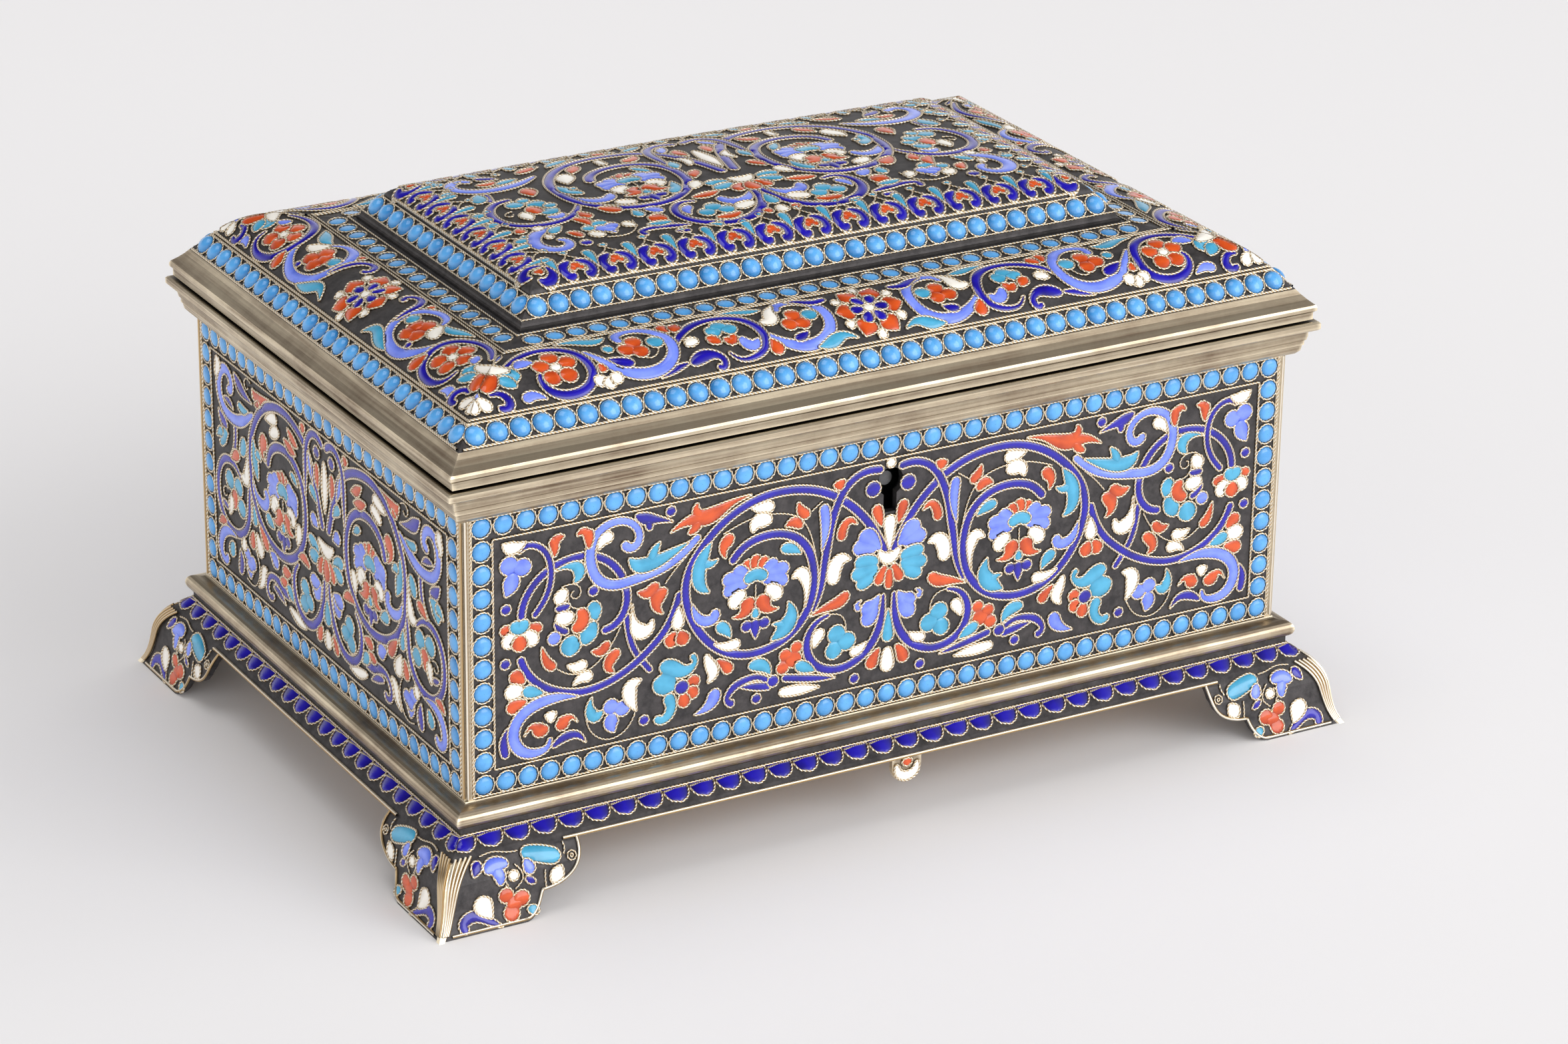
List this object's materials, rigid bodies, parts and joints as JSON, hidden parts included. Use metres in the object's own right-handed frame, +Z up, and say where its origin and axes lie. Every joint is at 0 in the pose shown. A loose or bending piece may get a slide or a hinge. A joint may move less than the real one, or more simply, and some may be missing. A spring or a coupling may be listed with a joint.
{
  "type": "enamel casket",
  "caption": "Small rectangular keepsake casket of enamelled silver, with a stepped and domed lid on a knuckle hinge, a box lock behind its keyhole and four flared bracket feet.",
  "frame": {"origin": "Centre of the footprint, at the level of the table", "axes": "+X runs along the front from left to right, +Y from the front with the keyhole to the hinged back, +Z up"},
  "size_m": [0.169, 0.1182, 0.0943],
  "materials": {
    "enamel": "glossy coloured enamel domed inside twisted silver wires on a dark oxidised ground",
    "silver": "worn silver with warm tarnish in the hollows",
    "gilt": "satin gilding inside the casket",
    "steel": "dark polished lock steel"
  },
  "bodies": {
    "root": {"front_panel": "enamel", "back_panel": "enamel", "left_panel": "enamel", "right_panel": "enamel", "corner_strip_front_left": "silver", "corner_strip_front_right": "silver", "corner_strip_back_right": "silver", "corner_strip_back_left": "silver", "base_plate": "gilt", "plinth_moulding": "silver", "apron": "enamel", "apron_drop": "enamel", "foot_front_left": "enamel", "foot_front_right": "enamel", "foot_back_right": "enamel", "foot_back_left": "enamel", "foot_arris_front_left": "silver", "foot_arris_front_right": "silver", "foot_arris_back_right": "silver", "foot_arris_back_left": "silver", "rim_moulding": "silver", "lock_plate": "steel", "lock_cap": "steel", "lock_drill_pin": "steel", "lock_spring": "steel", "lock_rivet_left_low": "steel", "lock_rivet_left_high": "steel", "lock_rivet_right_low": "steel", "lock_rivet_right_high": "steel", "hinge_leaf_body": "silver", "hinge_pin": "silver"},
    "lid": {"lid_edge_moulding": "silver", "lid_bead_course": "enamel", "lid_band_front": "enamel", "lid_band_right": "enamel", "lid_band_back": "enamel", "lid_band_left": "enamel", "lid_ledge": "enamel", "tray_riser": "silver", "tray_bead_course": "enamel", "tray_dome": "enamel", "lid_staple": "steel", "hinge_leaf_lid": "silver"},
    "bolt": {"lock_bolt": "steel"}
  },
  "joints": [
    {"name": "lid_hinge", "type": "hinge", "parent": "root", "child": "lid", "pos_m": [0, 0.05555, 0.07135], "axis": [-1, 0, 0], "range_deg": [0, 100]},
    {"name": "bolt_slide", "type": "slide", "parent": "root", "child": "bolt", "axis": [1, 0, 0], "range_m": [0, 0.0034]}
  ]
}
